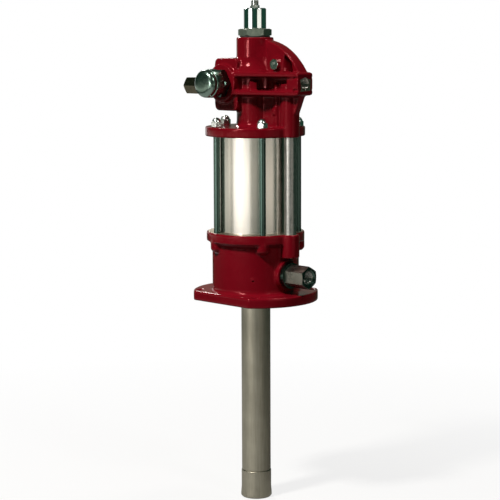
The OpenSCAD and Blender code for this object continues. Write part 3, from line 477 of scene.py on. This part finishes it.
UP = (0, 0, 1)
base_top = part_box("base_casting")[1].z
tube_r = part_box("pump_tube")[1].x
cylinder_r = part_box("air_cylinder")[1].x
cylinder_wall = 2 * MM
cylinder_seat = base_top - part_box("air_cylinder")[0].z + 1 * MM
seat_core_r = 51 * MM
rod_r = 4.75 * MM
rod_circle = 61.5 * MM
rod_count = 5
rod_places = [around(math.pi + math.tau * i / rod_count, rod_circle, 0) for i in range(rod_count)]
duct_low, duct_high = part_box("transfer_tube")
duct_x = (duct_low.x + duct_high.x) / 2
duct_r = (duct_high.x - duct_low.x) / 2
weep_side = math.radians(-48.7)
weep_tilt = math.radians(46)
weep_mouth = around(weep_side, 62.5 * MM, 34.7 * MM)
weep_axis = around(weep_side, -math.sin(weep_tilt), math.cos(weep_tilt))
weep_r = 1.3 * MM
gland_r = 14.5 * MM
tube_socket = 17 * MM
fit_gap = 0.05 * MM
plane_r = 200 * MM  # of the tools that face a casting flat
mouth = 8 * MM  # how deep the mouth of a bore is filled before the skin is rounded
overcut = 1 * MM
on_plane = 0.1 * MM
base = cast_skin("cast_base", "base_casting", [
    ((0, 0, 0), UP, cylinder_r + 2 * MM, base_top - mouth, base_top, seat_core_r),
    ((0, 0, 0), UP, gland_r + 3.5 * MM, base_top - mouth, base_top),
    ((0, 0, 0), UP, tube_r + 1.5 * MM, 0.0, mouth),
    ((duct_x, 0, 0), UP, duct_r + 2.5 * MM, base_top - mouth - overcut, base_top),
    (weep_mouth, weep_axis, 2 * weep_r, 0.6 * MM, 9 * MM),
] + [(place, UP, rod_r + 1.2 * MM, base_top - mouth - overcut, base_top) for place in rod_places],
    voxel=1.1 * MM, smoothing=12, keep=0.5)
machine_off(base, [
    ((0, 0, 0), UP, plane_r, base_top, base_top + 20 * MM),
    ((0, 0, 0), UP, plane_r, -20 * MM, 0.0),
    ((0, 0, 0), UP, cylinder_r + 0.1 * MM, base_top - cylinder_seat, base_top + overcut,
     cylinder_r - cylinder_wall),
    ((0, 0, 0), UP, gland_r, base_top - 10 * MM, base_top + overcut),
    ((0, 0, 0), UP, tube_r + fit_gap, -30 * MM, tube_socket, 0.0, 96),
    ((duct_x, 0, 0), UP, duct_r + fit_gap, base_top - 10 * MM, base_top + overcut),
    (weep_mouth, weep_axis, weep_r, -4 * MM, 12 * MM, 0.0, 24),
] + [(place, UP, rod_r + fit_gap, base_top - 12 * MM, base_top + overcut) for place in rod_places])
base.data.materials.clear()
base.data.materials.append(crimson)
base.data.materials.append(bare_iron)
for face in base.data.polygons:
    if face.center.z > base_top - on_plane or face.center.z < on_plane:
        face.material_index = 1
stands_for(base, "base_casting", None)

# Oil outlet: a steel adapter with a round collar and a long hexagon, screwed into the side
# of the base. Its plating is grey-brown on the hexagon; the collar, the end and the bore are
# painted nearly black as painted shade, and the pipe thread inside is bright.
old_zinc = metal("old_zinc_plate", (0.30, 0.29, 0.25), (0.40, 0.38, 0.33), 0.30, 0.05,
                 blotch_scale=60.0)
# A nearly black plate, used as painted shade on faces that lie in shade.
shade_painted_zinc = metal("shade_painted_zinc_plate", (0.05, 0.09, 0.075), (0.08, 0.125, 0.10), 0.22, 0.03,
                  blotch_scale=60.0)
fitting = machined("outlet_fitting", "outlet_adapter", 0.5 * MM, old_zinc)
fitting.data.materials.append(shade_painted_zinc)
outlet_low, outlet_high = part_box("outlet_adapter")
outlet_z = (outlet_low.z + outlet_high.z) / 2
outlet_end = outlet_high.x
outlet_hex_l = 34 * MM
outlet_bore_r = 9.2 * MM
# The collar, the end face and the bore get the nearly black plate: painted shade.
for face in fitting.data.polygons:
    on_collar = face.center.x < outlet_end - outlet_hex_l + 0.2 * MM
    in_bore = math.hypot(face.center.y, face.center.z - outlet_z) < outlet_bore_r + 1.8 * MM
    if on_collar or in_bore or face.normal.x > 0.9:
        face.material_index = 1

# Packing, gland and bush of the piston rod: black rubber rings and turned bronze, pressed
# into the middle of the base, and the rubber ring behind the outlet's collar.
rubber = bpy.data.materials.new("black_rubber")
rubber.use_nodes = True
rubber.node_tree.nodes["Principled BSDF"].inputs["Base Color"].default_value = (0.02, 0.02, 0.02, 1)
rubber.node_tree.nodes["Principled BSDF"].inputs["Roughness"].default_value = 0.6
bronze = metal("turned_bronze", (0.55, 0.40, 0.18), (0.66, 0.50, 0.24), 0.28, 0.06)
for node in ("outlet_seal", "rod_packing", "rod_air_seal"):
    show_node(node, rubber)
for node in ("packing_gland", "rod_bush"):
    show_node(node, bronze)

# Air cylinder: honed and polished stainless tube, satin along its length, clamped between
# the castings on two thin gaskets.
satin = metal("satin_stainless", (0.66, 0.62, 0.56), (0.74, 0.70, 0.64), 0.22, 0.02,
              grain=(0.2, 0.2, 12), grain_scale=60.0)
machined("air_barrel", "air_cylinder", 0.3 * MM, satin)
show_node("cylinder_gaskets", rubber)

# Tie rods and domed nuts: five dark plated rods with a bright domed nut on each, set on one
# bolt circle and screwed into the base. The nuts are milled from hexagon bar.
HALF_FACET = math.radians(30)


def turned(bm, profile, across_flats=0.0, segments=72, milled_to=math.inf):
    """Turns a profile of (radius, height) about the Z axis. What is wider than a hexagon of
    that width across its flats is milled down to it, up to the height milled_to, so that
    chamfers meet the flats."""
    rings = [[] for _ in profile]
    for i in range(segments):
        angle = math.tau * i / segments
        limit = math.inf
        if across_flats:
            limit = across_flats / 2 / math.cos(angle % math.radians(60) - HALF_FACET)
        for k, (r, h) in enumerate(profile):
            if r > limit + 1e-9 and h <= milled_to:
                near = profile[k - 1] if profile[k - 1][0] < limit else profile[k + 1]
                share = (limit - near[0]) / (r - near[0])
                r, h = limit, near[1] + (h - near[1]) * share
            rings[k].append(bm.verts.new(around(angle, r, h)))
    for lower, upper in zip(rings, rings[1:]):
        for i in range(segments):
            j = (i + 1) % segments
            bm.faces.new((lower[i], lower[j], upper[j], upper[i]))
    bmesh.ops.remove_doubles(bm, verts=bm.verts[:], dist=0.001 * MM)


def socket_input(tree, modifier, label, value):
    """Sets a modifier's input by the identifier of the tree's socket with that label."""
    for item in tree.interface.items_tree:
        if item.item_type == "SOCKET" and item.in_out == "INPUT" and item.name == label:
            modifier[item.identifier] = value


def new_tree(name, inputs):
    """A node tree that gives geometry out, with the named inputs given as label and type."""
    tree = bpy.data.node_groups.new(name, "GeometryNodeTree")
    tree.interface.new_socket("Geometry", in_out="INPUT", socket_type="NodeSocketGeometry")
    for label, kind in inputs.items():
        tree.interface.new_socket(label, in_out="INPUT", socket_type="NodeSocket" + kind)
    tree.interface.new_socket("Geometry", in_out="OUTPUT", socket_type="NodeSocketGeometry")
    return tree, add_node(tree, "NodeGroupInput"), add_node(tree, "NodeGroupOutput")


def finish_tree(tree, geometry, material, out):
    """Ends a tree in Realize Instances and Set Material."""
    real = add_node(tree, "GeometryNodeRealizeInstances", {"Geometry": geometry})
    coloured = add_node(tree, "GeometryNodeSetMaterial", {
        "Geometry": real.outputs["Geometry"], "Material": material})
    tree.links.new(coloured.outputs["Geometry"], out.inputs["Geometry"])


def grown(obj, tree, values):
    """Runs a tree on an object with its input values, and keeps the plain mesh."""
    modifier = obj.modifiers.new(tree.name, "NODES")
    modifier.node_group = tree
    for label, value in values.items():
        socket_input(tree, modifier, label, value)
    return applied(obj)


bolt_circle, circle_in, circle_out = new_tree("bolt_circle", {
    "Count": "Int", "Radius": "Float", "First Angle": "Float", "Material": "Material"})
places = add_node(bolt_circle, "GeometryNodeMeshCircle", {
    "Vertices": circle_in.outputs["Count"], "Radius": circle_in.outputs["Radius"]})
first = add_node(bolt_circle, "ShaderNodeCombineXYZ", {"Z": circle_in.outputs["First Angle"]})
places_turned = add_node(bolt_circle, "GeometryNodeTransform", {
    "Geometry": places.outputs["Mesh"], "Rotation": first.outputs[0]})
place_on_circle = add_node(bolt_circle, "GeometryNodeInputPosition")
outwards = add_node(bolt_circle, "FunctionNodeAlignRotationToVector", {
    "Vector": place_on_circle.outputs[0]}, axis="X", pivot_axis="Z")
set_round = add_node(bolt_circle, "GeometryNodeInstanceOnPoints", {
    "Points": places_turned.outputs["Geometry"], "Instance": circle_in.outputs["Geometry"],
    "Rotation": outwards.outputs["Rotation"]})
finish_tree(bolt_circle, set_round.outputs["Instances"], circle_in.outputs["Material"], circle_out)
nut_low, nut_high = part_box("tie_rod_nuts")
rod_low, rod_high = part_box("tie_rods")
nut_flats = round(2 * (-nut_low.x - rod_circle) * math.cos(HALF_FACET), 5)
nut_corner = nut_flats / 2 / math.cos(HALF_FACET) + 0.01 * MM
nut_bore = rod_r + 0.1 * MM
dome_r = nut_flats / 2 - 0.4 * MM
dome_z = nut_high.z - dome_r
dome_from = math.radians(8.5)
dome_to = math.radians(89.9)
dome_steps = 12
hex_top = dome_z + 1 * MM
rod_zinc = metal("rod_zinc_plate", (0.06, 0.10, 0.085), (0.09, 0.14, 0.12), 0.20, 0.02,
                 grain=(1, 1, 0.1))
bright_zinc = metal("bright_zinc_plate", (0.66, 0.67, 0.64), (0.80, 0.81, 0.78), 0.26, 0.04)
bm = bmesh.new()
nut_profile = [(nut_bore, rod_high.z), (nut_bore, nut_low.z), (nut_flats / 2 - 0.5 * MM, nut_low.z),
               (nut_corner, nut_low.z + 0.8 * MM), (nut_corner, hex_top - 0.9 * MM),
               (dome_r - 0.1 * MM, hex_top)]
for step in range(1, dome_steps + 1):
    rise = dome_from + (dome_to - dome_from) * step / dome_steps
    nut_profile.append((dome_r * math.cos(rise), dome_z + dome_r * math.sin(rise)))
turned(bm, nut_profile + [(0.0, nut_high.z)], nut_flats, 60)
turned(bm, [(0.0, rod_high.z), (nut_bore, rod_high.z)], segments=60)
nuts = ease_edges(link_mesh("domed_nuts", bm), 0.3 * MM, angle=24)
ring_values = {"Count": rod_count, "Radius": rod_circle, "First Angle": math.pi}
grown(nuts, bolt_circle, {**ring_values, "Material": bright_zinc})
stands_for(nuts, "tie_rod_nuts", None)
bm = bmesh.new()
turned(bm, [(0.0, rod_low.z), (rod_r - 0.6 * MM, rod_low.z), (rod_r, rod_low.z + 0.6 * MM),
            (rod_r, rod_high.z - 0.8 * MM), (rod_r - 0.8 * MM, rod_high.z), (0.0, rod_high.z)],
       segments=48)
rods = link_mesh("plated_tie_rods", bm)
grown(rods, bolt_circle, {**ring_values, "Material": rod_zinc})
rods.data.shade_smooth()
rods.data.set_sharp_from_angle(angle=math.radians(30))
stands_for(rods, "tie_rods", None)

# Air transfer tube: a plain galvanised tube beside the cylinder, sealed by a rubber ring at
# each end.
galvanised = metal("galvanised_tube", (0.34, 0.33, 0.31), (0.50, 0.48, 0.45), 0.36, 0.08,
                   grain_scale=260.0, blotch_scale=120.0)
machined("air_transfer_tube", "transfer_tube", 0.3 * MM, galvanised)
show_node("transfer_seals", rubber)

# Head casting: one iron casting with the clamp flange, the upright neck, the valve block on
# the left, the lever housing and the exhaust boss on the right, and two ribs round the valve.
ALONG_X = (1, 0, 0)
ALONG_Y = (0, 1, 0)
FACE_ON = Matrix.Rotation(math.radians(90), 4, "X")
head_low, head_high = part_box("head_casting")
head_z = head_low.z
neck_top = head_high.z
exhaust_face = head_high.x
exhaust_r = 9.2 * MM
flange_top = head_z + 13.6 * MM
spool_low, spool_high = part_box("valve_spool")
valve_x = (spool_low.x + spool_high.x) / 2
valve_z = (spool_low.z + spool_high.z) / 2
washer_t = 1.2 * MM
valve_face = -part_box("valve_cap_washers")[0].y - washer_t
screw_low, screw_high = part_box("pivot_screw")
lever_z = (screw_low.z + screw_high.z) / 2
house_front = 9 * MM
neck_r = 26.5 * MM
valley_from = -62  # degrees round the neck, where the valley beside the lever housing starts
valley_sweep = 50
valley_steps = 12
valley = []
for step in range(valley_steps + 1):
    corner = around(math.radians(valley_from + valley_sweep * step / valley_steps), neck_r, 0)
    valley.append((corner.x, corner.y))
valley += [(33.5 * MM, -5 * MM), (33.5 * MM, -14 * MM), (24 * MM, -30 * MM)]
pocket = [(63 * MM, lever_z - 13 * MM), (73 * MM, lever_z - 13 * MM), (73 * MM, lever_z + 7 * MM),
          (66 * MM, lever_z + 9 * MM)]
head = cast_skin("cast_head", "head_casting", [
    ((0, 0, 0), UP, cylinder_r + 2 * MM, head_z, head_z + 6 * MM, seat_core_r),
    ((duct_x, 0, 0), UP, duct_r + 2.6 * MM, head_z, head_z + 5 * MM),
    ((0, 0, valve_z), ALONG_X, exhaust_r + 1.5 * MM, exhaust_face - 9 * MM, exhaust_face),
] + [(place, UP, rod_r + 1.2 * MM, head_z, flange_top) for place in rod_places],
    voxel=1.0 * MM, smoothing=16, keep=0.45, hollows=[
        (valley, lever_z + 10.5 * MM, neck_top - 1.5 * MM),
        (pocket, -3 * MM, house_front + 5 * MM, FACE_ON)])
notch_r = 1.7 * MM
notch_side = 16.0 * MM
notch_rise = 8.4 * MM
notches = []
for across in (-notch_side, notch_side):
    for rise in (-notch_rise, notch_rise):
        notches.append(((0, across, valve_z + rise), ALONG_X, notch_r, exhaust_face - 8 * MM,
                        exhaust_face + overcut, 0.0, 24))
block_r = 60 * MM  # of the tools that face the neck, the exhaust boss and the valve block
facing = 20 * MM
machine_off(head, [
    ((0, 0, 0), UP, plane_r, head_z - facing, head_z),
    ((0, 0, 0), UP, block_r, neck_top, neck_top + facing),
    ((0, 0, valve_z), ALONG_X, block_r, exhaust_face, exhaust_face + facing),
    ((valve_x, 0, valve_z), ALONG_Y, block_r, valve_face, valve_face + facing),
    ((valve_x, 0, valve_z), ALONG_Y, block_r, -valve_face - facing, -valve_face),
    ((0, 0, 0), UP, cylinder_r + 0.1 * MM, head_z - overcut, head_z + cylinder_seat - 1 * MM,
     cylinder_r - cylinder_wall),
    ((duct_x, 0, 0), UP, duct_r + fit_gap, head_z - overcut, head_z + 10 * MM),
    ((0, 0, valve_z), ALONG_X, exhaust_r, exhaust_face - 20 * MM, exhaust_face + overcut),
] + notches + [(place, UP, rod_r + 0.3 * MM, head_z - overcut, flange_top + overcut)
               for place in rod_places])
head.data.materials.clear()
# The head's copy of the same enamel is about a fifth darker than the base's: painted shade.
head.data.materials.append(enamel(
    "crimson_enamel_painted_darker_head", (0.150, 0.0021, 0.0068), (0.178, 0.0029, 0.0088)))
head.data.materials.append(bare_iron)
for face in head.data.polygons:
    from_exhaust = math.hypot(face.center.y, face.center.z - valve_z)
    in_exhaust = face.center.x > exhaust_face - 22 * MM and from_exhaust < exhaust_r + on_plane
    if in_exhaust or face.center.z < head_z + on_plane:
        face.material_index = 1
stands_for(head, "head_casting", None)

# Pipe threads: the bright crests inside the exhaust port, the outlet and the inlet. Each is
# a thin ridge swept along a helix, on the body of the piece that it is cut in.
thread_helix, helix_in, helix_out = new_tree("pipe_thread", {
    "Turns": "Float", "Radius": "Float", "Length": "Float", "Ridge": "Float",
    "Material": "Material"})
path = add_node(thread_helix, "GeometryNodeCurveSpiral", {
    "Resolution": 40, "Rotations": helix_in.outputs["Turns"],
    "Start Radius": helix_in.outputs["Radius"], "End Radius": helix_in.outputs["Radius"],
    "Height": helix_in.outputs["Length"]})
ridge = add_node(thread_helix, "GeometryNodeCurvePrimitiveCircle", {
    "Resolution": 6, "Radius": helix_in.outputs["Ridge"]})
swept = add_node(thread_helix, "GeometryNodeCurveToMesh", {
    "Curve": path.outputs["Curve"], "Profile Curve": ridge.outputs["Curve"], "Fill Caps": True})
finish_tree(thread_helix, swept.outputs["Mesh"], helix_in.outputs["Material"], helix_out)
thread_steel = metal("bright_thread_steel", (0.60, 0.58, 0.54), (0.75, 0.73, 0.68), 0.20, 0.05)
ridge_r = 0.55 * MM


def cut_thread(name, place, axis, radius, length, turns, node):
    """The thread's crests inside a bore, as one helix from place along axis."""
    obj = link_mesh(name, bmesh.new())
    grown(obj, thread_helix, {"Turns": turns, "Radius": radius, "Length": length,
                              "Ridge": ridge_r, "Material": thread_steel})
    turn = Vector(axis).to_track_quat("Z", "Y").to_matrix().to_4x4()
    obj.data.transform(Matrix.Translation(place) @ turn)
    obj.data.shade_smooth()
    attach(obj, body_of_node.get(node, "pump"))


inlet_low, inlet_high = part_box("inlet_coupling")
inlet_y = (inlet_low.y + inlet_high.y) / 2
inlet_z = (inlet_low.z + inlet_high.z) / 2
inlet_bore_r = 7.2 * MM
cut_thread("exhaust_thread", (exhaust_face - 1.5 * MM, 0, valve_z), (-1, 0, 0),
           exhaust_r, 15 * MM, 8.0, "head_casting")
cut_thread("outlet_thread", (outlet_end - 2 * MM, 0, outlet_z), (-1, 0, 0),
           outlet_bore_r, 16 * MM, 9.0, "outlet_adapter")
cut_thread("inlet_thread", (inlet_low.x + 1.5 * MM, inlet_y, inlet_z), (1, 0, 0),
           inlet_bore_r, 15 * MM, 9.0, "inlet_coupling")

# Caps of the valve bore: a turned steel cap with a hexagon in front, the hexagon painted nearly
# black as painted shade, a plain plug behind, and the bronze sleeve and steel spool between.
cap_zinc = metal("cap_zinc_plate", (0.16, 0.23, 0.19), (0.23, 0.31, 0.26), 0.24, 0.02,
                 blotch_scale=40.0)
cap_flats = 38.1 * MM
cap_corner = cap_flats / 2 / math.cos(HALF_FACET) + 0.01 * MM
sleeve_r = (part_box("valve_sleeve")[1].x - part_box("valve_sleeve")[0].x) / 2
cap_base = -valve_face - washer_t
cap_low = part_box("valve_end_cap")[1].y
milled_l = 10.5 * MM
painted_shade_l = 11.2 * MM
# The hexagon, the barrel, a groove and the domed nose, as radius and distance out in millimetres.
nose = [(0.0, cap_low), (sleeve_r - 0.1 * MM, cap_low), (sleeve_r - 0.1 * MM, cap_base)]
for r, h in ((18.6, 0.0), (cap_corner / MM, 1.3), (cap_corner / MM, 9.7), (19.0, 11.0),
             (20.25, 11.4), (20.25, 22.4), (19.9, 23.6), (18.9, 24.2), (18.9, 25.6), (19.6, 26.2),
             (19.9, 27.2), (19.75, 28.8), (19.0, 31.2), (17.4, 33.2), (15.0, 34.6), (11.5, 35.4),
             (6.0, 35.75), (0.0, 35.8)):
    nose.append((r * MM, cap_base - h * MM))
bm = bmesh.new()
turned(bm, [(r, -h) for r, h in nose], cap_flats, 96, milled_to=milled_l - cap_base)
cap_place = Matrix.Translation((valve_x, 0, valve_z)) @ FACE_ON
bmesh.ops.transform(bm, matrix=cap_place, verts=bm.verts[:])
front_cap = link_mesh("front_valve_cap", bm)
front_cap.data.shade_smooth()
front_cap.data.set_sharp_from_angle(angle=math.radians(32))
stands_for(front_cap, "valve_end_cap", cap_zinc)
# The hexagon end of the cap gets the nearly black plate: painted shade.
front_cap.data.materials.append(shade_painted_zinc)
for face in front_cap.data.polygons:
    if face.center.y > cap_base - painted_shade_l:
        face.material_index = 1
machined("rear_valve_plug", "valve_rear_plug", 0.5 * MM, cap_zinc)
ground = metal("ground_steel", (0.50, 0.50, 0.47), (0.60, 0.60, 0.57), 0.25, 0.04)
show_node("valve_cap_washers", ground)
show_node("valve_sleeve", bronze)
show_node("valve_spool", ground)

# Air inlet: a short plated nipple and a long coupling of hexagon bar, oiled brown, screwed
# into the left of the valve block.
brown_steel = metal("brown_oiled_steel", (0.075, 0.068, 0.04), (0.13, 0.115, 0.07), 0.26, 0.05,
                    blotch_scale=70.0)
machined("inlet_pipe_nipple", "inlet_nipple", 0.4 * MM, old_zinc)
machined("inlet_hex_coupling", "inlet_coupling", 0.5 * MM, brown_steel)

# Neck plug, rod cap, lock nut and stud: a dull plated hexagon screwed into the top of the
# neck, the bright cap of the trip rod above it, and a small slotted stud with its lock nut.
dull_zinc = metal("dull_zinc_plate", (0.24, 0.30, 0.24), (0.34, 0.38, 0.31), 0.46, 0.05,
                  blotch_scale=90.0)
chrome = metal("bright_chrome", (0.80, 0.82, 0.80), (0.86, 0.88, 0.86), 0.06, 0.02)
machined("neck_hex_plug", "neck_plug", 0.5 * MM, dull_zinc)
show_node("neck_gasket", rubber)
machined("bright_rod_cap", "rod_cap", 0.3 * MM, chrome)
machined("small_lock_nut", "cap_lock_nut", 0.25 * MM, bright_zinc)
machined("slotted_stud", "cap_stud", 0.25 * MM, ground)

# Pivot screw of the lever: plated steel, screwed through the housing from the front, with
# the rounded edge of its socket head standing out.
screw_zinc = metal("screw_zinc_plate", (0.50, 0.56, 0.50), (0.62, 0.68, 0.62), 0.16, 0.03,
                   blotch_scale=60.0)
machined("lever_pivot_screw", "pivot_screw", 1.1 * MM, screw_zinc)

# Moving pieces inside: trip gear, air piston, rods, pump piston and the two balls. They are
# ground or chromed steel with rubber seals, and show only through the ports.
for node in ("trip_lever", "trip_rod", "trip_nut", "pilot_spool", "air_piston", "connecting_rod",
             "pump_piston", "foot_stop_pin", "piston_nut"):
    show_node(node, ground)
for node in ("piston_seal", "pump_piston_seal"):
    show_node(node, rubber)
for node in ("piston_rod", "foot_ball", "pump_piston_ball"):
    show_node(node, chrome)
